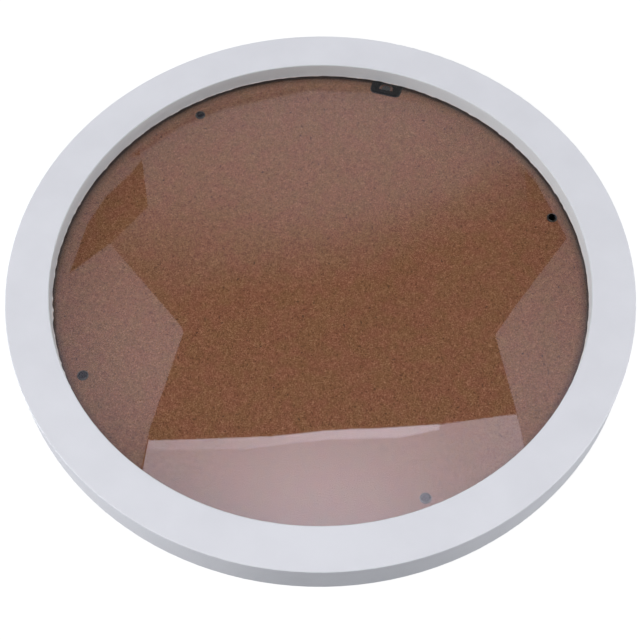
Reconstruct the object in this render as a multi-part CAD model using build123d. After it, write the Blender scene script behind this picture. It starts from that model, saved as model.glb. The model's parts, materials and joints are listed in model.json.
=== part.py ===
from build123d import *
import os

# Round photo frame: a ring routed from one sheet of fibreboard, with a clear glazing sheet and a
# hardboard back dropped into its rabbet from behind. Four sheet-metal turn buttons, each riveted to
# the back with a hollow eyelet, swing their tips into a groove in the rabbet wall and lock the back.
# A sheet-metal hanger is folded over the top edge of the back. The frame lies on its back at z = 0,
# +Z points out of its face, +Y points to the hanger, and the ring is centred on the Z axis.

# The insert: what is cut to the size of a round print
insert_diameter = 254.0
glazing_thickness = 2.0
board_thickness = 3.0
glazing_edge_bevel = 0.25
board_edge_bevel = 0.4
insert_play = 1.25

# The ring
frame_thickness = 18.0
face_width = 19.5
lip_overlap = 4.5
lip_depth = 8.0
face_outer_round = 0.4
face_inner_round = 0.4
lip_corner_round = 0.25
back_outer_round = 0.3
rabbet_mouth_bevel = 0.6
groove_height = 2.5
groove_end_clearance = 1.2
groove_floor_play = 0.15

# The eyelets that rivet the turn buttons to the board
eyelet_angles = {"upper_right": 34.0, "upper_left": 137.5, "lower_left": 221.0, "lower_right": 308.5}
eyelet_edge_distance = 11.7
eyelet_barrel_diameter = 3.6
eyelet_wall = 0.35
eyelet_flange_diameter = 5.0
eyelet_front_flange = 0.6
eyelet_back_flange = 0.7
eyelet_roll_round = 0.45
eyelet_hole_clearance = 0.03

# The turn buttons
button_thickness = 0.8
button_head_radius = 5.0
button_tip_radius = 3.6
button_engagement = 3.8
button_axial_play = 0.05
button_hole_clearance = 0.06
bead_width = 3.2
bead_height = 0.6
bead_wall = 0.7
bead_round = 0.4
bead_head_gap = 0.9
bead_wall_gap = 1.2

# The hanger, folded over the board's edge
hanger_thickness = 0.6
hanger_width = 15.5
hanger_front_leg = 11.4
hanger_front_corner = 2.6
hanger_back_flat = 2.6
hanger_step = 2.2
hanger_step_run = 2.0
hanger_back_corner = 5.0
hanger_bend_radius = 0.35
hanger_edge_gap = 0.05
barb_slot_width = 1.3
barb_slot_outer_width = 6.9
barb_slot_straight = 1.0
barb_foot_height = 3.0
barb_bite = 0.45
barb_pocket_clearance = 0.05
nail_hole_diameter = 7.0
nail_slot_width = 3.4
nail_slot_run = 5.0
nail_slot_margin = 2.0
nail_hole_margin = 3.6

# One overrun for every cut that has to break through a face
overrun = 1.0

# Radii and heights that follow from the sizes above
insert_radius = insert_diameter / 2
opening_radius = insert_radius - lip_overlap
frame_radius = opening_radius + face_width
rabbet_radius = insert_radius + insert_play
eyelet_radius = insert_radius - eyelet_edge_distance
barrel_radius = eyelet_barrel_diameter / 2
flange_radius = eyelet_flange_diameter / 2

lip_seat_z = frame_thickness - lip_depth
glazing_back_z = lip_seat_z - glazing_thickness
board_front_z = glazing_back_z - max(eyelet_front_flange, hanger_thickness)
board_back_z = board_front_z - board_thickness
button_front_z = board_back_z - button_axial_play
button_back_z = button_front_z - button_thickness
back_flange_front_z = button_back_z - button_axial_play
groove_floor_z = button_back_z - groove_floor_play
groove_roof_z = groove_floor_z + groove_height

button_reach = eyelet_edge_distance + insert_play + button_engagement
groove_radius = rabbet_radius + button_engagement + groove_end_clearance


def corner(face, x, y):
    """The vertex of a flat face nearest to a point of its own plane."""
    return face.vertices().sort_by_distance(Vector(x, y))[0]


def turned(profile):
    """A solid of revolution from a profile drawn with x as the radius and y as the height."""
    return revolve(Plane.XZ * profile, Axis.Z, 360)


def frame_ring():
    """The ring: a flat face, a lip over the glazing, a rabbet and the groove for the turn buttons."""
    outline = make_face(
        Polyline(
            (frame_radius, 0),
            (frame_radius, frame_thickness),
            (opening_radius, frame_thickness),
            (opening_radius, lip_seat_z),
            (rabbet_radius, lip_seat_z),
            (rabbet_radius, groove_roof_z),
            (groove_radius, groove_roof_z),
            (groove_radius, groove_floor_z),
            (rabbet_radius, groove_floor_z),
            (rabbet_radius, 0),
            close=True,
        )
    )
    outline = fillet(corner(outline, frame_radius, frame_thickness), face_outer_round)
    outline = fillet(corner(outline, opening_radius, frame_thickness), face_inner_round)
    outline = fillet(corner(outline, opening_radius, lip_seat_z), lip_corner_round)
    outline = fillet(corner(outline, frame_radius, 0), back_outer_round)
    outline = chamfer(corner(outline, rabbet_radius, 0), min(rabbet_mouth_bevel, groove_floor_z / 2))
    return turned(outline)


def glazing_sheet():
    """The clear sheet that lies against the lip, its edge broken on both sides."""
    sheet = Pos(0, 0, glazing_back_z) * extrude(Circle(insert_radius), glazing_thickness)
    return chamfer(sheet.edges().filter_by(GeomType.CIRCLE), glazing_edge_bevel)


def eyelet_spot(name):
    """Where an eyelet stands on the board, turned so that local +X points away from the centre."""
    return Rot(0, 0, eyelet_angles[name]) * Pos(eyelet_radius, 0, 0)


def backing_board():
    """The hardboard back, drilled for the eyelets and nicked where the hanger's barb bites."""
    board = Pos(0, 0, board_back_z) * extrude(Circle(insert_radius), board_thickness)
    board = chamfer(board.edges().filter_by(GeomType.CIRCLE), board_edge_bevel)
    drill = Circle(barrel_radius + eyelet_hole_clearance)
    for name in eyelet_angles:
        hole = Pos(0, 0, board_back_z - overrun) * extrude(drill, board_thickness + 2 * overrun)
        board -= eyelet_spot(name) * hole
    return board - barb_pocket()


def eyelet(name):
    """A hollow rivet: its rolled front flange grips the board, its back flange keeps the button on."""
    bore_radius = barrel_radius - eyelet_wall
    front_z = board_front_z + eyelet_front_flange
    back_z = back_flange_front_z - eyelet_back_flange
    outline = make_face(
        Polyline(
            (bore_radius, back_z),
            (flange_radius, back_z),
            (flange_radius, back_flange_front_z),
            (barrel_radius, back_flange_front_z),
            (barrel_radius, board_front_z),
            (flange_radius, board_front_z),
            (flange_radius, front_z),
            (bore_radius, front_z),
            close=True,
        )
    )
    for x in (bore_radius, flange_radius):
        for y in (back_z, front_z):
            outline = fillet(corner(outline, x, y), eyelet_roll_round)
    return eyelet_spot(name) * turned(outline)


def turn_button(name):
    """A stamped tear-drop plate with a stiffening bead, its tip in the frame's groove."""
    head = Circle(button_head_radius)
    tip = Pos(button_reach - button_tip_radius, 0) * Circle(button_tip_radius)
    plate = extrude(make_hull(head.edges() + tip.edges()), button_thickness)

    bead_start = flange_radius + bead_head_gap
    bead_end = eyelet_edge_distance + insert_play - bead_wall_gap
    bead_middle = (bead_start + bead_end) / 2
    bead_length = bead_end - bead_start
    ridge = extrude(SlotOverall(bead_length, bead_width), -bead_height)
    ridge = fillet(ridge.faces().sort_by(Axis.Z)[0].edges(), bead_round)
    hollow_length = bead_length - 2 * bead_wall
    hollow_width = bead_width - 2 * bead_wall
    hollow = extrude(SlotOverall(hollow_length, hollow_width), bead_height + overrun)

    bore = extrude(Circle(barrel_radius + button_hole_clearance), button_thickness + overrun)
    button = plate + Pos(bead_middle, 0, 0) * ridge
    button -= Pos(bead_middle, 0, button_thickness - bead_height) * hollow
    button -= Pos(0, 0, -overrun / 2) * bore
    return eyelet_spot(name) * Pos(0, 0, button_back_z) * button


def barb_outline(margin):
    """The arched tongue seen from the front: margin 0 is the tongue, more is the slot around it."""
    half = barb_slot_outer_width / 2 - barb_slot_width + margin
    foot_y = insert_radius - hanger_front_leg + barb_foot_height
    shoulder_y = foot_y + barb_slot_straight
    outline = Polyline((-half, shoulder_y), (-half, foot_y), (half, foot_y), (half, shoulder_y))
    crown = ThreePointArc((half, shoulder_y), (0, shoulder_y + half), (-half, shoulder_y))
    return make_face([*outline.edges(), *crown.edges()])


def barb_wedge(clearance):
    """The tongue pressed into the board: flush at its foot, sunk by the bite at its free end."""
    half = barb_slot_outer_width / 2 - barb_slot_width + clearance
    foot_y = insert_radius - hanger_front_leg + barb_foot_height
    tip_y = foot_y + barb_slot_straight + half
    low_z = board_front_z - clearance
    side = make_face(
        Polyline(
            (foot_y, low_z),
            (tip_y, low_z - barb_bite),
            (tip_y, low_z - barb_bite + hanger_thickness + clearance),
            (foot_y, board_front_z + hanger_thickness),
            close=True,
        )
    )
    wedge = extrude(Plane.YZ * side, half, both=True)
    plan = Pos(0, 0, board_front_z - barb_bite - overrun) * extrude(
        barb_outline(clearance), hanger_thickness + barb_bite + 2 * overrun
    )
    return wedge & plan


def barb_pocket():
    """The bite that the barb leaves in the board."""
    return barb_wedge(barb_pocket_clearance)


def hanger_clip():
    """A folded strip: a front leg with a barb, a bend round the edge, and a back leg with a keyhole."""
    middle = hanger_thickness / 2
    front_z = board_front_z + middle
    back_z = board_back_z - middle
    plate_z = back_z - hanger_step
    front_end_y = insert_radius - hanger_front_leg
    fold_y = insert_radius + hanger_edge_gap + middle
    flat_y = insert_radius - hanger_back_flat
    plate_y = flat_y - hanger_step_run
    slot_y = plate_y - nail_slot_margin - nail_slot_width / 2
    hole_y = slot_y - nail_slot_run
    end_y = hole_y - nail_hole_diameter / 2 - nail_hole_margin
    strip = FilletPolyline(
        (front_end_y, front_z),
        (fold_y, front_z),
        (fold_y, back_z),
        (flat_y, back_z),
        (plate_y, plate_z),
        (end_y, plate_z),
        radius=hanger_bend_radius + middle,
    )
    clip = extrude(Plane.YZ * trace(strip, hanger_thickness), hanger_width / 2, both=True)
    for end_x in (-hanger_width / 2, hanger_width / 2):
        back_end = clip.edges().filter_by(Axis.Z).sort_by_distance(Vector(end_x, end_y, plate_z))[0]
        clip = fillet(back_end, hanger_back_corner)
        front_end = clip.edges().filter_by(Axis.Z).sort_by_distance(Vector(end_x, front_end_y, front_z))[0]
        clip = fillet(front_end, hanger_front_corner)

    cut = hanger_thickness + overrun
    clip -= Pos(0, 0, board_front_z - overrun / 2) * extrude(barb_outline(barb_slot_width), cut)
    clip += barb_wedge(0)

    keyhole = Pos(0, hole_y) * Circle(nail_hole_diameter / 2)
    keyhole += Pos(0, slot_y) * Circle(nail_slot_width / 2)
    keyhole += Pos(0, (slot_y + hole_y) / 2) * Rectangle(nail_slot_width, nail_slot_run)
    clip -= Pos(0, 0, plate_z - middle - overrun / 2) * extrude(keyhole, cut)
    return clip


def main():
    parts = {
        "frame_ring": frame_ring(),
        "glazing_sheet": glazing_sheet(),
        "backing_board": backing_board(),
        "hanger_clip": hanger_clip(),
    }
    for name in eyelet_angles:
        parts["eyelet_" + name] = eyelet(name)
        parts["turn_button_" + name] = turn_button(name)

    os.makedirs("parts", exist_ok=True)
    for node, shape in parts.items():
        export_step(shape, f"parts/{node}.step")
        box = shape.bounding_box()
        print(node, "solids", len(shape.solids()), "size", [round(v, 2) for v in box.size])


main()
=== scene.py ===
import json
import math
import random

import bpy
from mathutils import Matrix, Vector


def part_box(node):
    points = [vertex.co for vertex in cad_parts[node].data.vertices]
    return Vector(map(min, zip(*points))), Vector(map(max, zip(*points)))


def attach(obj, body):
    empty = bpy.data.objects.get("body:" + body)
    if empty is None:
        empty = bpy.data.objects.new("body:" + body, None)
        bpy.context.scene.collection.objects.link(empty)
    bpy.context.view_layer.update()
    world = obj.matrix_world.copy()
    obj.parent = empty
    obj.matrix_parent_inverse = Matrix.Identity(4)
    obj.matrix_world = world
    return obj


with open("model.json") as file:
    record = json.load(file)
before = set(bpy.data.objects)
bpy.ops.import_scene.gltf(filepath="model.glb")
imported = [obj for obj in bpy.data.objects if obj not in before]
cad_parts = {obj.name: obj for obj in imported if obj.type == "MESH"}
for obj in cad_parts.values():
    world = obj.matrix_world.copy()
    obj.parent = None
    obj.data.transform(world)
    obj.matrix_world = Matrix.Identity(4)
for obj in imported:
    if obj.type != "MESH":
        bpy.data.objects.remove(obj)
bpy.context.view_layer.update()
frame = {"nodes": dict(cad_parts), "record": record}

# A round photo frame lying on its back: white ring, glass, brown hardboard back held by four
# riveted turn buttons, black hanger at the top edge. Everything is in metres.

mm = 0.001
nodes = frame["nodes"]
ringLow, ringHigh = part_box("frame_ring")
glassLow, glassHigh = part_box("glazing_sheet")
lipRadius = min(Vector(v.co.xy).length for v in nodes["frame_ring"].data.vertices)


def linearColor(hexText):
    # sRGB hex to the linear colour that the sockets take
    channels = [int(hexText[i:i + 2], 16) / 255 for i in (0, 2, 4)]
    return tuple(c / 12.92 if c <= 0.04045 else ((c + 0.055) / 1.055) ** 2.4 for c in channels) + (1.0,)


def perSize(size):
    # scale of a texture whose clumps or cells are this size, in millimetres
    return 1 / (size * mm)


def between(limits):
    # the inputs of a map range that starts at the first limit and ends at the second
    return {"From Min": limits[0], "From Max": limits[1]}


def addNode(tree, kind, inputs=None, **settings):
    # one node with its settings. An input takes a value, a hex colour, a socket or another node
    node = tree.nodes.new(kind)
    for name, value in settings.items():
        setattr(node, name, value)
    for name, value in (inputs or {}).items():
        if isinstance(name, int):
            socket = node.inputs[name]
        else:
            socket = next(s for s in node.inputs if s.enabled and s.name == name)
        if isinstance(value, bpy.types.Node):
            value = next(s for s in value.outputs if s.enabled)
        if isinstance(value, bpy.types.NodeSocket):
            tree.links.new(value, socket)
        else:
            socket.default_value = linearColor(value) if isinstance(value, str) else value
    return node


def newMaterial(name):
    material = bpy.data.materials.new(name)
    material.use_nodes = True
    tree = material.node_tree
    tree.nodes.clear()
    return material, tree


def giveMaterial(thing, material):
    thing.data.materials.clear()
    thing.data.materials.append(material)


def meshPiece(name, points, faces):
    mesh = bpy.data.meshes.new(name)
    mesh.from_pydata(points, [], faces)
    thing = bpy.data.objects.new(name, mesh)
    bpy.context.collection.objects.link(thing)
    return thing


# Camera, at the photograph's viewing angle
camera = {
    "lens": 70.31,          # mm on a 36 mm sensor
    "distance": 566.9,      # mm from the middle of the ring's face
    "elevation": 57.28,     # degrees above the table
    "azimuth": 16.65,       # degrees from looking straight at the hanger
    "lookDown": 59.56,      # the lens points a little nearer than the middle
    "aside": 0.06,          # and a little to the left
    "roll": -0.63,
}


def makeCamera():
    data = bpy.data.cameras.new("camera")
    data.lens = camera["lens"]
    data.sensor_width = 36
    data.clip_start = 0.01
    thing = bpy.data.objects.new("camera", data)
    bpy.context.collection.objects.link(thing)
    azimuth = math.radians(camera["azimuth"])
    elevation = math.radians(camera["elevation"])
    flat = math.cos(elevation)
    back = Vector((math.sin(azimuth) * flat, -math.cos(azimuth) * flat, math.sin(elevation)))
    place = Vector((0, 0, ringHigh.z)) + back * camera["distance"] * mm
    heading = azimuth + math.radians(camera["aside"])
    tilt = math.radians(90 - camera["lookDown"])
    roll = math.radians(camera["roll"])
    turn = Matrix.Rotation(heading, 4, "Z") @ Matrix.Rotation(tilt, 4, "X") @ Matrix.Rotation(roll, 4, "Z")
    thing.matrix_world = Matrix.Translation(place) @ turn
    bpy.context.scene.camera = thing


makeCamera()
bpy.context.scene.view_settings.view_transform = "Standard"
print("camera placed")


# The room: even light, white for the camera and for what mirrors it
room = {
    "light": 0.09,          # what the world gives the object
    "tint": "F4F8FF",
}

# The table: white paper, clear from underneath
table = {
    "size": 6.0,            # m
    "drop": 0.05,           # mm under the frame, so that the two don't share a plane
    "color": "888A8C",
    "seen": "6E7072",       # the camera sees a darker paper under the lift, so the shadow stays soft
    "lift": 0.90,           # takes the lit paper to white for the camera
    "far": (0.5, 1.2),      # m, where the lamps fade and the lift grows to white by itself
    "covered": 141.0,       # mm, radius that the frame covers
    "dark": "101010",       # painted shade: the paper under the frame is near black, seen down the eyelets' bores
}

lamps = {
    # degrees round from the camera's right, degrees up, metres away, metres across, watts
    "leftLamp": {"around": 180, "up": 8, "away": 1.8, "across": 1.4, "power": 25.5},
    "leftStrip": {"around": 200, "up": 0.0, "away": 1.8, "across": 0.12, "power": 7.5},
    "rightLamp": {"around": 5, "up": 8, "away": 1.8, "across": 1.4, "power": 13.0},
    "rightStrip": {"around": 350, "up": 0.0, "away": 1.8, "across": 0.12, "power": 15.0},
    "frontLeftLamp": {"around": 210, "up": 30, "away": 1.8, "across": 1.4, "power": 12.8},
    "frontRightLamp": {"around": 330, "up": 30, "away": 1.8, "across": 1.4, "power": 7.5},
    "backLamp": {"around": 90, "up": 30, "away": 1.8, "across": 1.4, "power": 9.5},
    "overheadLamp": {"around": 300, "up": 78, "away": 1.8, "across": 1.4, "power": 9.8},
    "underLamp": {"around": 90, "up": -90, "away": 1.8, "across": 0.2, "power": 22.0},
}


def makeRoom():
    world = bpy.data.worlds.new("room")
    bpy.context.scene.world = world
    world.use_nodes = True
    tree = world.node_tree
    tree.nodes.clear()
    path = addNode(tree, "ShaderNodeLightPath").outputs
    seen = addNode(tree, "ShaderNodeMath", {0: path["Is Camera Ray"], 1: path["Is Glossy Ray"]},
                   operation="MAXIMUM")
    shown = addNode(tree, "ShaderNodeMath", {0: seen, 1: path["Is Transmission Ray"]}, operation="MAXIMUM")
    light = addNode(tree, "ShaderNodeBackground", {"Color": room["tint"], "Strength": room["light"]})
    white = addNode(tree, "ShaderNodeBackground", {"Color": "FFFFFF", "Strength": 1.0})
    mix = addNode(tree, "ShaderNodeMixShader", {0: shown, 1: light, 2: white})
    addNode(tree, "ShaderNodeOutputWorld", {"Surface": mix})


def makeTable():
    half = table["size"] / 2
    low = -table["drop"] * mm
    corners = [(-half, -half, low), (half, -half, low), (half, half, low), (-half, half, low)]
    thing = meshPiece("table", corners, [(0, 1, 2, 3)])
    material, tree = newMaterial("white paper table")
    material.cycles.emission_sampling = "NONE"
    path = addNode(tree, "ShaderNodeLightPath").outputs
    geometry = addNode(tree, "ShaderNodeNewGeometry").outputs
    radius = addNode(tree, "ShaderNodeVectorMath", {0: geometry["Position"]}, operation="LENGTH")
    covered = addNode(tree, "ShaderNodeMath", {0: radius, 1: table["covered"] * mm}, operation="LESS_THAN")

    # what lights the frame, and what the camera sees; under the frame the paper is near black, painted
    # shade
    color = addNode(tree, "ShaderNodeMix", {"Factor": covered, "A": table["color"], "B": table["dark"]},
                    data_type="RGBA")
    paper = addNode(tree, "ShaderNodeBsdfDiffuse", {"Color": color})
    near, far = table["far"]
    strength = addNode(tree, "ShaderNodeMapRange", {"Value": radius, "From Min": near, "From Max": far,
                                                    "To Min": table["lift"], "To Max": 1.0})
    lift = addNode(tree, "ShaderNodeEmission", {"Color": "FFFFFF", "Strength": strength})
    seen = addNode(tree, "ShaderNodeBsdfDiffuse", {"Color": table["seen"]})
    lifted = addNode(tree, "ShaderNodeAddShader", {0: seen, 1: lift})
    top = addNode(tree, "ShaderNodeMixShader", {0: path["Is Camera Ray"], 1: paper, 2: lifted})

    # clear from underneath, and under the frame to the lamp there, so that its back is seen and lit,
    # but not to what the glass shows, or the eyelets' bores would shine
    light = addNode(tree, "ShaderNodeMath", {0: path["Is Shadow Ray"], 1: path["Is Glossy Ray"]},
                    operation="MAXIMUM")
    outside = addNode(tree, "ShaderNodeMath", {0: path["Transmission Depth"], 1: 1.0},
                      operation="LESS_THAN")
    passed = addNode(tree, "ShaderNodeMath", {0: covered, 1: light}, operation="MULTIPLY")
    passed = addNode(tree, "ShaderNodeMath", {0: passed, 1: outside}, operation="MULTIPLY")
    clear = addNode(tree, "ShaderNodeMath", {0: passed, 1: geometry["Backfacing"]}, operation="MAXIMUM")
    gone = addNode(tree, "ShaderNodeBsdfTransparent")
    surface = addNode(tree, "ShaderNodeMixShader", {0: clear, 1: top, 2: gone})
    addNode(tree, "ShaderNodeOutputMaterial", {"Surface": surface})
    giveMaterial(thing, material)


def makeLamp(name):
    facts = lamps[name]
    data = bpy.data.lights.new(name, "AREA")
    data.shape = "DISK"
    data.size = facts["across"]
    data.energy = facts["power"]
    thing = bpy.data.objects.new(name, data)
    bpy.context.collection.objects.link(thing)
    around = math.radians(facts["around"] + camera["azimuth"])
    up = math.radians(facts["up"])
    toward = Vector((math.cos(around) * math.cos(up), math.sin(around) * math.cos(up), math.sin(up)))
    thing.location = toward * facts["away"]
    thing.rotation_euler = toward.to_track_quat("Z", "Y").to_euler()
    thing.visible_camera = False
    thing.visible_glossy = False


makeRoom()
makeTable()
for lampName in lamps:
    makeLamp(lampName)
print("room and lamps made")


# What the glass mirrors: pale cards over the table, in front of a dark ceiling. Heights and places
# are in millimetres, x to the camera's right and y away from it. A card is brightest at its spot
# and fades over the reach. A card with several rows is one sheet from row to row, and each row
# has its share of the glow.
cardTint = "F1EDFF"
cards = {
    "ceiling": {
        "height": 712, "glow": (0.0, 0.0), "spot": (0, 500), "reach": 500,
        "rows": [[(-620, 20), (620, 20), (620, 1500), (-620, 1500)]],
    },
    "frontCard": {
        "height": 704, "glow": (3.65, 2.05), "spot": (-1, 128), "reach": 230,
        "rows": [
            [(-201, 69), (225, 70), (211, 234), (204, 270), (186, 268), (123, 259), (60, 255), (29, 255),
             (4, 253), (-23, 250), (-52, 247), (-80, 246), (-153, 244), (-180, 243)],
        ],
    },
    "frontHem": {
        "height": 703, "glow": (4.3, 2.7), "spot": (48, 246), "reach": 230,
        "rows": [
            [(-180, 244), (-153, 244), (-80, 246), (-52, 247), (-23, 250), (4, 253), (60, 255), (123, 259)],
            [(-177, 233), (-148, 233), (-79, 233), (-60, 235), (-30, 239), (8, 243), (80, 244), (123, 253)],
        ],
    },
    "leftCard": {
        "height": 700, "glow": (0.84, 0.50), "spot": (-167, 324), "reach": 230,
        "rows": [
            [(-472, 69), (-201, 70), (-185, 211), (-179, 255), (-149, 371), (-153, 380), (-238, 488),
             (-280, 448), (-266, 515), (-248, 553), (-221, 587), (-209, 607), (-212, 614), (-226, 609),
             (-244, 599), (-257, 583), (-276, 541), (-470, 470)],
        ],
    },
    "rightCard": {
        "height": 700, "glow": (0.92, 0.50), "spot": (220, 247), "reach": 260,
        "rows": [
            [(471, 70), (465, 640), (247, 640), (252, 570), (280, 489), (214, 400), (189, 364), (192, 343),
             (204, 270), (225, 70)],
        ],
    },
    "farCard": {
        "height": 701, "glow": (0.72, 0.54), "spot": (-1, 695), "reach": 340,
        "shares": (0.0, 0.36, 0.85, 1.0, 1.0, 0.45, 0.45),
        "rows": [
            [(-235, 443), (-176, 399), (-111, 421), (-12, 425), (55, 438), (124, 472), (159, 480),
             (193, 494), (240, 511)],
            [(-238, 488), (-181, 471), (-112, 461), (-11, 472), (57, 488), (126, 520), (161, 538),
             (198, 560), (241, 584)],
            [(-198, 539), (-179, 555), (-115, 554), (-11, 530), (57, 537), (129, 561), (163, 571),
             (202, 607), (244, 622)],
            [(-209, 607), (-166, 642), (-119, 665), (-11, 664), (61, 662), (133, 662), (169, 658),
             (205, 643), (245, 630)],
            [(-212, 615), (-167, 654), (-115, 682), (-11, 710), (66, 705), (138, 684), (173, 663),
             (206, 648), (247, 632)],
            [(-213, 618), (-168, 657), (-115, 685), (-11, 713), (66, 708), (139, 687), (174, 666),
             (207, 651), (248, 635)],
            [(-221, 889), (-166, 889), (-119, 889), (-11, 889), (60, 889), (133, 889), (168, 890),
             (204, 890), (253, 890)],
        ],
    },
}


def makeCard(name):
    facts = cards[name]
    rows = facts["rows"]
    count = len(rows[0])
    points = [(x * mm, y * mm, facts["height"] * mm) for row in rows for x, y in row]
    if len(rows) == 1:
        faces = [tuple(range(count))]
    else:
        starts = [row * count + i for row in range(len(rows) - 1) for i in range(count - 1)]
        faces = [(i, i + 1, i + count + 1, i + count) for i in starts]
    thing = meshPiece(name, points, faces)
    thing.rotation_euler = (0, 0, math.radians(camera["azimuth"]))
    shares = facts.get("shares", (1.0,) * len(rows))
    share = thing.data.attributes.new("share", "FLOAT", "POINT")
    share.data.foreach_set("value", [shares[i // count] for i in range(len(points))])

    material, tree = newMaterial(name + " glow")
    material.cycles.emission_sampling = "NONE"
    here = addNode(tree, "ShaderNodeTexCoord").outputs["Object"]
    spotX, spotY = facts["spot"]
    spot = (spotX * mm, spotY * mm, facts["height"] * mm)
    away = addNode(tree, "ShaderNodeVectorMath", {0: here, 1: spot}, operation="DISTANCE")
    bright, dim = facts["glow"]
    limits = {"Value": away, "From Max": facts["reach"] * mm, "To Min": bright, "To Max": dim}
    glow = addNode(tree, "ShaderNodeMapRange", limits, interpolation_type="SMOOTHSTEP")
    rowShare = addNode(tree, "ShaderNodeAttribute", attribute_name="share").outputs["Fac"]
    strength = addNode(tree, "ShaderNodeMath", {0: glow, 1: rowShare}, operation="MULTIPLY")
    shine = addNode(tree, "ShaderNodeEmission", {"Color": cardTint, "Strength": strength})
    addNode(tree, "ShaderNodeOutputMaterial", {"Surface": shine})
    giveMaterial(thing, material)
    thing.visible_camera = False
    thing.visible_diffuse = False
    thing.visible_shadow = False


for cardName in cards:
    makeCard(cardName)
print("cards for the glass made")


# Satin acrylic paint, sprayed on routed fibreboard: a soft wide sheen with a faint orange peel, and
# clouds where the coat is thicker. The lip's wall is painted darker and greyer than the face: painted
# shade. The rabbet behind the glass is bare brown board, with some overspray at its mouth.
satinPaint = {
    "color": "DCDDE4",
    "thick": "E0E1E8",
    # painted shade: the wall's colour, darker and greyer than the face
    "wallPaintedShadeColor": "CED2D7",
    "bare": "A3805F",
    "bareDark": "876547",
    "roughness": 0.42,
    "bareRoughness": 0.85,
    "ior": 1.5,
    "cloudSize": 22,        # mm
    "cloudRange": (0.35, 0.65),
    "peelSize": 0.9,        # mm between the bumps of the spray
    "fuzzSize": 0.4,        # mm, raised fibres of the routed walls
    "fuzzRange": (0.35, 0.65),
    "wallFuzz": 0.8,        # share of the spray's bumps
    "mistSize": 2.0,        # mm, drops of the overspray
    "bumpDepth": 0.03,      # mm
    "corner": (0.4, 0.3),   # mm out from the lip's wall, where the face's round turns into it
    "rabbetRadius": 134.2,  # mm, out to the floor of the groove
    "rabbetFade": 0.3,      # mm, over which the paint turns to bare board
    "lipFoot": (0.02, -0.03),   # mm from the glass, where the paint ends
    "oversprayHeight": 2.2,     # mm up from the back
    "oversprayBreak": 0.5,      # how much its drops break it up
    "oversprayEdge": 0.45,      # coat at which it covers no more board
}


def makeSatinPaint():
    facts = satinPaint
    material, tree = newMaterial("satin sprayed paint on fibreboard")
    spot = addNode(tree, "ShaderNodeTexCoord").outputs["Object"]
    height = addNode(tree, "ShaderNodeSeparateXYZ", {0: spot}).outputs["Z"]
    flat = addNode(tree, "ShaderNodeVectorMath", {0: spot, 1: (1, 1, 0)}, operation="MULTIPLY")
    radius = addNode(tree, "ShaderNodeVectorMath", {0: flat}, operation="LENGTH")

    cloud = addNode(tree, "ShaderNodeTexNoise", {"Vector": spot, "Scale": perSize(facts["cloudSize"]),
                                                 "Detail": 3.0})
    thick = addNode(tree, "ShaderNodeMapRange", {"Value": cloud, **between(facts["cloudRange"])})
    color = addNode(tree, "ShaderNodeMix", {"Factor": thick, "A": facts["color"], "B": facts["thick"]},
                    data_type="RGBA")

    # the lip's wall, from the face's inner round down, darker and greyer as painted shade
    corner = [lipRadius + out * mm for out in facts["corner"]]
    onWall = addNode(tree, "ShaderNodeMapRange", {"Value": radius, **between(corner)})
    color = addNode(tree, "ShaderNodeMix", {"Factor": onWall, "A": color, "B": facts["wallPaintedShadeColor"]},
                    data_type="RGBA")

    # bare board behind the lip
    foot = [glassHigh.z + up * mm for up in facts["lipFoot"]]
    underLip = addNode(tree, "ShaderNodeMapRange", {"Value": height, **between(foot)})
    rabbet = [facts["rabbetRadius"] * mm, (facts["rabbetRadius"] - facts["rabbetFade"]) * mm]
    inRabbet = addNode(tree, "ShaderNodeMapRange", {"Value": radius, **between(rabbet)})
    mist = addNode(tree, "ShaderNodeTexNoise", {"Vector": spot, "Scale": perSize(facts["mistSize"]),
                                                "Detail": 4.0, "Roughness": 0.7})
    broken = addNode(tree, "ShaderNodeMath", {0: mist, 1: facts["oversprayBreak"]}, operation="MULTIPLY")
    rise = addNode(tree, "ShaderNodeMapRange", {"Value": height, "From Max": facts["oversprayHeight"] * mm})
    coat = addNode(tree, "ShaderNodeMath", {0: rise, 1: broken}, operation="SUBTRACT")
    uncoated = addNode(tree, "ShaderNodeMapRange", {"Value": coat, "From Max": facts["oversprayEdge"]})
    hidden = addNode(tree, "ShaderNodeMath", {0: underLip, 1: inRabbet}, operation="MULTIPLY")
    bareShare = addNode(tree, "ShaderNodeMath", {0: hidden, 1: uncoated}, operation="MULTIPLY")
    fuzz = addNode(tree, "ShaderNodeTexNoise", {"Vector": spot, "Scale": perSize(facts["fuzzSize"]),
                                                "Detail": 4.0, "Roughness": 0.7})
    fibres = addNode(tree, "ShaderNodeMapRange", {"Value": fuzz, **between(facts["fuzzRange"])})
    bare = addNode(tree, "ShaderNodeMix", {"Factor": fibres, "A": facts["bareDark"], "B": facts["bare"]},
                   data_type="RGBA")
    color = addNode(tree, "ShaderNodeMix", {"Factor": bareShare, "A": color, "B": bare}, data_type="RGBA")
    roughness = addNode(tree, "ShaderNodeMapRange", {"Value": bareShare, "To Min": facts["roughness"],
                                                     "To Max": facts["bareRoughness"]})

    peel = addNode(tree, "ShaderNodeTexNoise", {"Vector": spot, "Scale": perSize(facts["peelSize"])})
    routed = addNode(tree, "ShaderNodeMath", {0: onWall, 1: bareShare}, operation="MAXIMUM")
    raised = addNode(tree, "ShaderNodeMapRange", {"Value": routed, "To Max": facts["wallFuzz"]})
    wallFuzz = addNode(tree, "ShaderNodeMath", {0: fuzz, 1: raised}, operation="MULTIPLY")
    bumps = addNode(tree, "ShaderNodeMath", {0: peel, 1: wallFuzz}, operation="ADD")
    normal = addNode(tree, "ShaderNodeBump", {"Height": bumps, "Strength": 1.0,
                                              "Distance": facts["bumpDepth"] * mm})
    shader = addNode(tree, "ShaderNodeBsdfPrincipled", {"Base Color": color, "Roughness": roughness,
                                                        "Normal": normal, "IOR": facts["ior"]})
    addNode(tree, "ShaderNodeOutputMaterial", {"Surface": shader})
    return material


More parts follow.
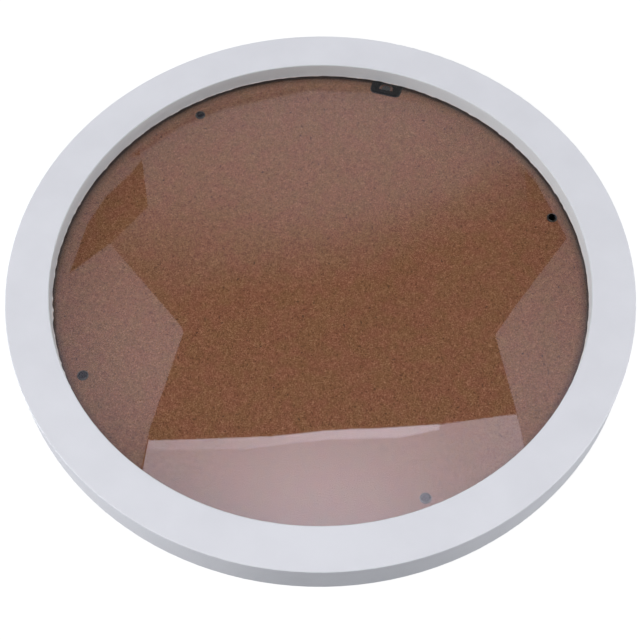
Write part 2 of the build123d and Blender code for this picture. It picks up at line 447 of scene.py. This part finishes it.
def fibreFamily(tree, spot, turn, length, width):
    # streaks of one direction, length by width in millimetres
    along = addNode(tree, "ShaderNodeMapping", {"Vector": spot, "Rotation": (0, 0, math.radians(turn)),
                                                "Scale": (length * mm, width * mm, length * mm)},
                    vector_type="TEXTURE")
    return addNode(tree, "ShaderNodeTexNoise", {"Vector": along, "Scale": 1.0, "Detail": 2.0})


def speckFamily(tree, spot, turn, gap, length, width, rarity):
    # dashes of one direction, in the share of cells above the rarity
    along = addNode(tree, "ShaderNodeMapping", {"Vector": spot, "Rotation": (0, 0, math.radians(turn)),
                                                "Scale": (length * mm, width * mm, length * mm)},
                    vector_type="TEXTURE")
    perGap = math.sqrt(length * width) / gap
    cells = addNode(tree, "ShaderNodeTexVoronoi", {"Vector": along, "Scale": perGap}).outputs
    edge = [share * perGap for share in hardboard["speckEdge"]]
    near = addNode(tree, "ShaderNodeMapRange", {"Value": cells["Distance"], **between(edge)})
    chance = addNode(tree, "ShaderNodeSeparateColor", {0: cells["Color"]}).outputs["Red"]
    picked = addNode(tree, "ShaderNodeMapRange", {"Value": chance, "From Min": rarity})
    return addNode(tree, "ShaderNodeMath", {0: near, 1: picked}, operation="MULTIPLY")


# Pressed wet-process hardboard, smooth face up: brown felted fibres in clouds of pinkish and yellowish
# brown, dark specks of bark and a few pale splinters. Its underside carries the print of the screen.
hardboard = {
    "color": "83503A",
    "warm": "7E5436",
    "dark": "481F10",
    "pale": "B98B70",
    "speck": "32120B",
    "fleck": "C09B7A",
    "fleckCover": 0.45,
    "back": "6F4D37",
    "backCover": 0.7,
    "roughness": 0.55,
    "backRoughness": 0.75,
    "specular": 0.3,
    "ior": 1.5,
    "swirlSize": 3.0,       # mm, how the felt is stirred
    "swirlReach": 1.6,      # mm
    "blotchSize": 9.0,      # mm
    "blotchRange": (0.4, 0.6),
    "shadeSize": 1.8,       # mm, darker and paler clumps of fibre
    "shadeWeight": 0.25,
    "grainSize": 0.37,      # mm
    "grainWeight": 2.0,
    "fibreLength": 1.6,     # mm
    "fibreWidth": 0.32,     # mm, a real one is 0.05 and would not show
    "fibreWeight": 0.45,
    "fibreTurns": (8, 47, 95, 139),
    "darkRange": (0.5, 0.1),    # felt that shows the dark and the pale colour
    "paleRange": (0.52, 1.1),
    # turn, then gap, length and width in mm
    "specks": ((35, 4.1, 2.0, 0.9), (118, 4.6, 2.6, 0.8), (75, 3.4, 1.1, 1.0)),
    "flecks": ((10, 5.5, 3.2, 0.45), (100, 6.5, 4.0, 0.4), (55, 5.0, 2.4, 0.45)),
    "speckEdge": (0.5, 0.2),    # of the speck's size, from where to where it darkens
    "rarity": 0.62,         # the share of cells with no speck
    "screenPitch": 1.5,     # mm between the wires
    "downRange": (-0.4, -0.8),  # the normal's height, from side to underside
    "printRange": (0.3, 1.0),
    "screenDepth": 1.5,     # against the felt's bumps
    "feltDepth": 0.5,
    "bumpDepth": 0.12,      # mm
    # painted shade under the lip: the rim's near-black colour, where it starts and how much it darkens
    "margin": "1C0D08",
    "marginReach": (118.6, 121.4, 122.6),   # mm from the middle
    "marginSteps": (0.42, 0.55),    # share gained between them
}


def makeHardboard():
    facts = hardboard
    material, tree = newMaterial("pressed hardboard")
    straight = addNode(tree, "ShaderNodeTexCoord").outputs["Object"]
    swirl = addNode(tree, "ShaderNodeTexNoise", {"Vector": straight, "Scale": perSize(facts["swirlSize"]),
                                                 "Detail": 1.0}).outputs["Color"]
    shift = addNode(tree, "ShaderNodeVectorMath", {0: swirl, 1: (0.5, 0.5, 0.5)}, operation="SUBTRACT")
    bend = addNode(tree, "ShaderNodeVectorMath", {0: shift, "Scale": facts["swirlReach"] * mm},
                   operation="SCALE")
    spot = addNode(tree, "ShaderNodeVectorMath", {0: straight, 1: bend}, operation="ADD").outputs["Vector"]

    cloud = addNode(tree, "ShaderNodeTexNoise", {"Vector": spot, "Scale": perSize(facts["blotchSize"]),
                                                 "Detail": 3.0, "Roughness": 0.6})
    blotch = addNode(tree, "ShaderNodeMapRange", {"Value": cloud, **between(facts["blotchRange"])})
    color = addNode(tree, "ShaderNodeMix", {"Factor": blotch, "A": facts["color"], "B": facts["warm"]},
                    data_type="RGBA")

    # felt is 0.5 on the average, less where the fibres lie darker
    grain = addNode(tree, "ShaderNodeTexNoise", {"Vector": spot, "Scale": perSize(facts["grainSize"]),
                                                 "Detail": 2.0, "Roughness": 0.7})
    shade = addNode(tree, "ShaderNodeTexNoise", {"Vector": spot, "Scale": perSize(facts["shadeSize"])})
    layers = [(grain, facts["grainWeight"]), (shade, facts["shadeWeight"])]
    for turn in facts["fibreTurns"]:
        fibres = fibreFamily(tree, spot, turn, facts["fibreLength"], facts["fibreWidth"])
        layers.append((fibres, facts["fibreWeight"]))
    felt = 0.5
    for layer, weight in layers:
        centred = addNode(tree, "ShaderNodeMath", {0: layer, 1: 0.5}, operation="SUBTRACT")
        weighed = addNode(tree, "ShaderNodeMath", {0: centred, 1: weight}, operation="MULTIPLY")
        felt = addNode(tree, "ShaderNodeMath", {0: felt, 1: weighed}, operation="ADD")
    dark = addNode(tree, "ShaderNodeMapRange", {"Value": felt, **between(facts["darkRange"])})
    color = addNode(tree, "ShaderNodeMix", {"Factor": dark, "A": color, "B": facts["dark"]},
                    data_type="RGBA")
    pale = addNode(tree, "ShaderNodeMapRange", {"Value": felt, **between(facts["paleRange"])})
    color = addNode(tree, "ShaderNodeMix", {"Factor": pale, "A": color, "B": facts["pale"]},
                    data_type="RGBA")

    marked = ((facts["specks"], facts["speck"], 1.0),
              (facts["flecks"], facts["fleck"], facts["fleckCover"]))
    for families, tone, cover in marked:
        marks = 0.0
        for turn, gap, length, width in families:
            family = speckFamily(tree, spot, turn, gap, length, width, facts["rarity"])
            marks = addNode(tree, "ShaderNodeMath", {0: marks, 1: family}, operation="MAXIMUM")
        share = addNode(tree, "ShaderNodeMath", {0: marks, 1: cover}, operation="MULTIPLY")
        color = addNode(tree, "ShaderNodeMix", {"Factor": share, "A": color, "B": tone}, data_type="RGBA")

    # painted shade: the board turns near black at its rim under the lip, in place of the lip's shadow
    radius = addNode(tree, "ShaderNodeVectorMath", {0: straight}, operation="LENGTH")
    reaches = [reach * mm for reach in facts["marginReach"]]
    soft, hard = facts["marginSteps"]
    start = addNode(tree, "ShaderNodeMapRange", {"Value": radius, **between(reaches[:2]), "To Max": soft})
    rest = addNode(tree, "ShaderNodeMapRange", {"Value": radius, **between(reaches[1:]), "To Max": hard})
    margin = addNode(tree, "ShaderNodeMath", {0: start, 1: rest}, operation="ADD")
    color = addNode(tree, "ShaderNodeMix", {"Factor": margin, "A": color, "B": facts["margin"]},
                    data_type="RGBA")

    # the screen's print on the underside
    facing = addNode(tree, "ShaderNodeTexCoord").outputs["Normal"]
    facingUp = addNode(tree, "ShaderNodeSeparateXYZ", {0: facing}).outputs["Z"]
    down = addNode(tree, "ShaderNodeMapRange", {"Value": facingUp, **between(facts["downRange"])})
    wires = []
    for direction in ("X", "Y"):
        # a wave texture of scale 1 repeats every pi / 10
        inputs = {"Vector": straight, "Scale": math.pi / 10 * perSize(facts["screenPitch"]),
                  "Distortion": 0.4, "Detail": 1.0}
        wires.append(addNode(tree, "ShaderNodeTexWave", inputs, bands_direction=direction).outputs["Fac"])
    mesh = addNode(tree, "ShaderNodeMath", {0: wires[0], 1: wires[1]}, operation="MAXIMUM")
    screen = addNode(tree, "ShaderNodeMath", {0: mesh, 1: down}, operation="MULTIPLY")
    printed = addNode(tree, "ShaderNodeMapRange", {"Value": screen, **between(facts["printRange"])})
    backTone = addNode(tree, "ShaderNodeMix", {"Factor": printed, "A": color, "B": facts["back"]},
                       data_type="RGBA")
    backShare = addNode(tree, "ShaderNodeMath", {0: down, 1: facts["backCover"]}, operation="MULTIPLY")
    color = addNode(tree, "ShaderNodeMix", {"Factor": backShare, "A": color, "B": backTone},
                    data_type="RGBA")

    feltHeight = addNode(tree, "ShaderNodeMath", {0: felt, 1: facts["feltDepth"]}, operation="MULTIPLY")
    screenHeight = addNode(tree, "ShaderNodeMath", {0: screen, 1: facts["screenDepth"]},
                           operation="MULTIPLY")
    bumps = addNode(tree, "ShaderNodeMath", {0: feltHeight, 1: screenHeight}, operation="ADD")
    normal = addNode(tree, "ShaderNodeBump", {"Height": bumps, "Strength": 1.0,
                                              "Distance": facts["bumpDepth"] * mm})
    roughness = addNode(tree, "ShaderNodeMapRange", {"Value": down, "To Min": facts["roughness"],
                                                     "To Max": facts["backRoughness"]})
    shader = addNode(tree, "ShaderNodeBsdfPrincipled", {"Base Color": color, "Roughness": roughness,
                                                        "Normal": normal, "IOR": facts["ior"],
                                                        "Specular IOR Level": facts["specular"]})
    addNode(tree, "ShaderNodeOutputMaterial", {"Surface": shader})
    return material


# Float glass, clean and flat: mirrors sharply on both faces, and what passes it turns a trace greener
floatGlass = {"color": "FFFFFF", "ior": 1.52, "lampShare": "F9FBF9"}


def makeFloatGlass():
    # lamps and diffuse light pass straight through to the board, the rest is real glass
    material, tree = newMaterial("float glass")
    path = addNode(tree, "ShaderNodeLightPath").outputs
    lampRay = addNode(tree, "ShaderNodeMath", {0: path["Is Shadow Ray"], 1: path["Is Diffuse Ray"]},
                      operation="MAXIMUM")
    glass = addNode(tree, "ShaderNodeBsdfPrincipled", {"Base Color": floatGlass["color"],
                                                       "Roughness": 0.0, "IOR": floatGlass["ior"],
                                                       "Transmission Weight": 1.0})
    through = addNode(tree, "ShaderNodeBsdfTransparent", {"Color": floatGlass["lampShare"]})
    mix = addNode(tree, "ShaderNodeMixShader", {0: lampRay, 1: glass, 2: through})
    addNode(tree, "ShaderNodeOutputMaterial", {"Surface": mix})
    return material


# Nickel-plated steel, rolled: dull grey, and painted near black inside the bore as painted shade
platedSteel = {
    "color": "5C5E5D",
    "stain": "3A3C3B",
    # near-black painted shade inside the bore
    "paintedBoreShade": "0D0E0E",
    "roughness": 0.36,
    "paintedBoreShadeRoughness": 0.75,
    "stainSize": 1.3,       # mm
    "stainRange": (0.42, 0.66),
    "dullRange": (0.4, 0.8),
    "grainSize": 0.5,       # mm
    "bumpDepth": 0.03,      # mm
    "paintedBoreShadeReach": (1.9, 1.7),   # mm from the bore's middle, where the painted shade ends on the rolled rim
}


def makePlatedSteel(axis):
    # axis is the middle of the rivet that gets it
    facts = platedSteel
    material, tree = newMaterial("dull nickel plate on rolled steel")
    spot = addNode(tree, "ShaderNodeTexCoord").outputs["Object"]
    stain = addNode(tree, "ShaderNodeTexNoise", {"Vector": spot, "Scale": perSize(facts["stainSize"]),
                                                 "Detail": 4.0, "Roughness": 0.6})
    stained = addNode(tree, "ShaderNodeMapRange", {"Value": stain, **between(facts["stainRange"])})
    color = addNode(tree, "ShaderNodeMix", {"Factor": stained, "A": facts["color"], "B": facts["stain"]},
                    data_type="RGBA")
    across = addNode(tree, "ShaderNodeVectorMath", {0: spot, 1: axis}, operation="SUBTRACT")
    flat = addNode(tree, "ShaderNodeVectorMath", {0: across, 1: (1, 1, 0)}, operation="MULTIPLY")
    radius = addNode(tree, "ShaderNodeVectorMath", {0: flat}, operation="LENGTH")
    paintedBoreShadeEnd = [reach * mm for reach in facts["paintedBoreShadeReach"]]
    # painted shade: near black and rougher inside the bore and on the rim's inner edge
    inBore = addNode(tree, "ShaderNodeMapRange", {"Value": radius, **between(paintedBoreShadeEnd)})
    color = addNode(tree, "ShaderNodeMix", {"Factor": inBore, "A": color, "B": facts["paintedBoreShade"]},
                    data_type="RGBA")
    dull = addNode(tree, "ShaderNodeMapRange", {"Value": stain, **between(facts["dullRange"])})
    rough = addNode(tree, "ShaderNodeMath", {0: inBore, 1: dull}, operation="MAXIMUM")
    roughness = addNode(tree, "ShaderNodeMapRange", {"Value": rough, "To Min": facts["roughness"],
                                                     "To Max": facts["paintedBoreShadeRoughness"]})
    grain = addNode(tree, "ShaderNodeTexNoise", {"Vector": spot, "Scale": perSize(facts["grainSize"]),
                                                 "Detail": 3.0})
    normal = addNode(tree, "ShaderNodeBump", {"Height": grain, "Strength": 1.0,
                                              "Distance": facts["bumpDepth"] * mm})
    shader = addNode(tree, "ShaderNodeBsdfPrincipled", {"Base Color": color, "Metallic": 1.0,
                                                        "Roughness": roughness, "Normal": normal})
    addNode(tree, "ShaderNodeOutputMaterial", {"Surface": shader})
    return material


# Black lacquer baked on punched steel: near black, semi-gloss, rubbed through round the nail hole
blackLacquer = {
    "color": "101112",
    "worn": "5C5A57",
    "roughness": (0.40, 0.54),
    "ior": 1.5,
    "flowSize": 2.4,        # mm, slow waves of the lacquer
    "flowRange": (0.3, 0.7),
    "scuffSize": 0.7,       # mm
    "scuffDepth": 0.2,      # against the waves
    "bumpDepth": 0.03,      # mm
    "rubReach": 1.1,        # mm out from the nail hole
    "wearRange": (1.15, 1.45),
}


def makeBlackLacquer():
    facts = blackLacquer
    hole = frame["record"]["mounts"][0]
    holeRadius = hole["dims"]["r_mm"]
    material, tree = newMaterial("black baked lacquer on steel")
    spot = addNode(tree, "ShaderNodeTexCoord").outputs["Object"]
    away = addNode(tree, "ShaderNodeVectorMath", {0: spot, 1: hole["pos_m"]}, operation="DISTANCE")
    scuff = addNode(tree, "ShaderNodeTexNoise", {"Vector": spot, "Scale": perSize(facts["scuffSize"]),
                                                 "Detail": 4.0, "Roughness": 0.7})
    rubbed = [(holeRadius + facts["rubReach"]) * mm, holeRadius * mm]
    rub = addNode(tree, "ShaderNodeMapRange", {"Value": away, **between(rubbed)})
    wear = addNode(tree, "ShaderNodeMath", {0: rub, 1: scuff}, operation="ADD")
    worn = addNode(tree, "ShaderNodeMapRange", {"Value": wear, **between(facts["wearRange"])})
    color = addNode(tree, "ShaderNodeMix", {"Factor": worn, "A": facts["color"], "B": facts["worn"]},
                    data_type="RGBA")
    flow = addNode(tree, "ShaderNodeTexNoise", {"Vector": spot, "Scale": perSize(facts["flowSize"])})
    smooth, dull = facts["roughness"]
    roughness = addNode(tree, "ShaderNodeMapRange", {"Value": flow, **between(facts["flowRange"]),
                                                     "To Min": smooth, "To Max": dull})
    scratch = addNode(tree, "ShaderNodeMath", {0: scuff, 1: facts["scuffDepth"]}, operation="MULTIPLY")
    bumps = addNode(tree, "ShaderNodeMath", {0: flow, 1: scratch}, operation="ADD")
    normal = addNode(tree, "ShaderNodeBump", {"Height": bumps, "Strength": 1.0,
                                              "Distance": facts["bumpDepth"] * mm})
    shader = addNode(tree, "ShaderNodeBsdfPrincipled", {"Base Color": color, "Metallic": worn,
                                                        "Roughness": roughness, "Normal": normal,
                                                        "IOR": facts["ior"]})
    addNode(tree, "ShaderNodeOutputMaterial", {"Surface": shader})
    return material


# Bright zinc plate on punched steel, tumbled: pale bluish metal with soft spangle and fine scratches
zincPlate = {
    "color": "B7BBC0",
    "shade": "9A9FA6",
    "shadeCover": 0.6,
    "roughness": (0.3, 0.5),
    "spangleSize": 1.8,     # mm
    "scratchLength": 6.0,   # mm
    "scratchWidth": 0.12,   # mm
    "scratchTurns": (20, 110),
    "scratchRange": (0.45, 0.75),
    "bumpDepth": 0.02,      # mm
}


def makeZincPlate():
    facts = zincPlate
    material, tree = newMaterial("bright zinc plate on punched steel")
    spot = addNode(tree, "ShaderNodeTexCoord").outputs["Object"]
    cells = addNode(tree, "ShaderNodeTexVoronoi", {"Vector": spot, "Scale": perSize(facts["spangleSize"])},
                    feature="SMOOTH_F1").outputs
    tone = addNode(tree, "ShaderNodeSeparateColor", {0: cells["Color"]}).outputs["Red"]
    shade = addNode(tree, "ShaderNodeMath", {0: tone, 1: facts["shadeCover"]}, operation="MULTIPLY")
    color = addNode(tree, "ShaderNodeMix", {"Factor": shade, "A": facts["color"], "B": facts["shade"]},
                    data_type="RGBA")
    first, second = [fibreFamily(tree, spot, turn, facts["scratchLength"], facts["scratchWidth"])
                     for turn in facts["scratchTurns"]]
    scratches = addNode(tree, "ShaderNodeMath", {0: first, 1: second}, operation="MAXIMUM")
    smooth, dull = facts["roughness"]
    roughness = addNode(tree, "ShaderNodeMapRange", {"Value": scratches, **between(facts["scratchRange"]),
                                                     "To Min": smooth, "To Max": dull})
    normal = addNode(tree, "ShaderNodeBump", {"Height": scratches, "Strength": 1.0,
                                              "Distance": facts["bumpDepth"] * mm})
    shader = addNode(tree, "ShaderNodeBsdfPrincipled", {"Base Color": color, "Metallic": 1.0,
                                                        "Roughness": roughness, "Normal": normal})
    addNode(tree, "ShaderNodeOutputMaterial", {"Surface": shader})
    return material


zinc = makeZincPlate()
giveMaterial(nodes["frame_ring"], makeSatinPaint())
giveMaterial(nodes["backing_board"], makeHardboard())
giveMaterial(nodes["glazing_sheet"], makeFloatGlass())
giveMaterial(nodes["hanger_clip"], makeBlackLacquer())
for nodeName in nodes:
    if nodeName.startswith("eyelet"):
        rivetLow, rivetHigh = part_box(nodeName)
        giveMaterial(nodes[nodeName], makePlatedSteel((rivetLow + rivetHigh) / 2))
    if nodeName.startswith("turn_button"):
        giveMaterial(nodes[nodeName], zinc)
print("materials given")


# Fuzz of paint and fibre that the router left along the lip's lower edge, resting over the glass
lipFuzz = {
    "color": "CDBDB7",
    "roughness": 0.8,
    "ior": 1.5,
    "grainSize": 0.5,       # mm
    "grainRange": (0.4, 0.65),
    "bumpDepth": 0.05,      # mm
    "seed": 7,
    "sections": 1400,
    "waves": 9,             # added up to the ragged edge
    "waveTimes": (20, 240),     # repeats round the lip
    "lift": 0.02,           # mm over the glass
    "height": 0.4,          # mm
    "root": 0.35,           # mm into the lip's wall
    "reach": (0.05, 0.34),  # mm inwards from the wall
    "chips": 46,
    "chipReach": (0.15, 0.42),
    "chipLength": (0.6, 2.4),
    "noseHeight": 0.1,      # share of the height where it reaches farthest
    "shoulder": (0.4, 0.55),    # share of the reach and of the height, halfway up
}


def makeFuzzPaint():
    facts = lipFuzz
    material, tree = newMaterial("torn paint edge on fibreboard")
    spot = addNode(tree, "ShaderNodeTexCoord").outputs["Object"]
    grain = addNode(tree, "ShaderNodeTexNoise", {"Vector": spot, "Scale": perSize(facts["grainSize"]),
                                                 "Detail": 3.0, "Roughness": 0.7})
    torn = addNode(tree, "ShaderNodeMapRange", {"Value": grain, **between(facts["grainRange"])})
    # the torn edge fades into the wall's colour, which carries painted shade
    color = addNode(tree, "ShaderNodeMix", {"Factor": torn, "A": facts["color"],
                                            "B": satinPaint["wallPaintedShadeColor"]}, data_type="RGBA")
    normal = addNode(tree, "ShaderNodeBump", {"Height": grain, "Strength": 1.0,
                                              "Distance": facts["bumpDepth"] * mm})
    shader = addNode(tree, "ShaderNodeBsdfPrincipled", {"Base Color": color, "Normal": normal,
                                                        "Roughness": facts["roughness"],
                                                        "IOR": facts["ior"]})
    addNode(tree, "ShaderNodeOutputMaterial", {"Surface": shader})
    return material


def makeLipFuzz():
    facts = lipFuzz
    dice = random.Random(facts["seed"])
    count = facts["sections"]
    waves = [(dice.randint(*facts["waveTimes"]), dice.uniform(0, math.tau))
             for wave in range(facts["waves"])]
    chips = [(dice.uniform(0, math.tau), dice.uniform(*facts["chipReach"]),
              dice.uniform(*facts["chipLength"]) * mm / lipRadius) for chip in range(facts["chips"])]
    least, most = facts["reach"]
    bottom = glassHigh.z + facts["lift"] * mm
    tall = facts["height"] * mm
    rootRadius = lipRadius + facts["root"] * mm
    nose = bottom + facts["noseHeight"] * tall
    shoulderReach, shoulderHeight = facts["shoulder"]
    shoulder = bottom + shoulderHeight * tall
    points, faces = [], []
    for i in range(count):
        angle = math.tau * i / count
        swell = sum(math.sin(times * angle + phase) for times, phase in waves) / len(waves)
        reach = least + (most - least) * max(0.0, 0.5 + swell)
        for place, size, length in chips:
            gap = abs((angle - place + math.pi) % math.tau - math.pi)
            reach += size * max(0.0, 1 - gap / length)
        section = [(rootRadius, bottom), (lipRadius - reach * mm, nose),
                   (lipRadius - shoulderReach * reach * mm, shoulder), (rootRadius, bottom + tall)]
        points += [(r * math.cos(angle), r * math.sin(angle), z) for r, z in section]
        here, there = 4 * i, 4 * ((i + 1) % count)
        faces += [(here + k, here + (k + 1) % 4, there + (k + 1) % 4, there + k) for k in range(4)]
    thing = meshPiece("lip_fuzz", points, faces)
    giveMaterial(thing, makeFuzzPaint())
    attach(thing, "frame")


makeLipFuzz()
print("fuzz along the lip made")
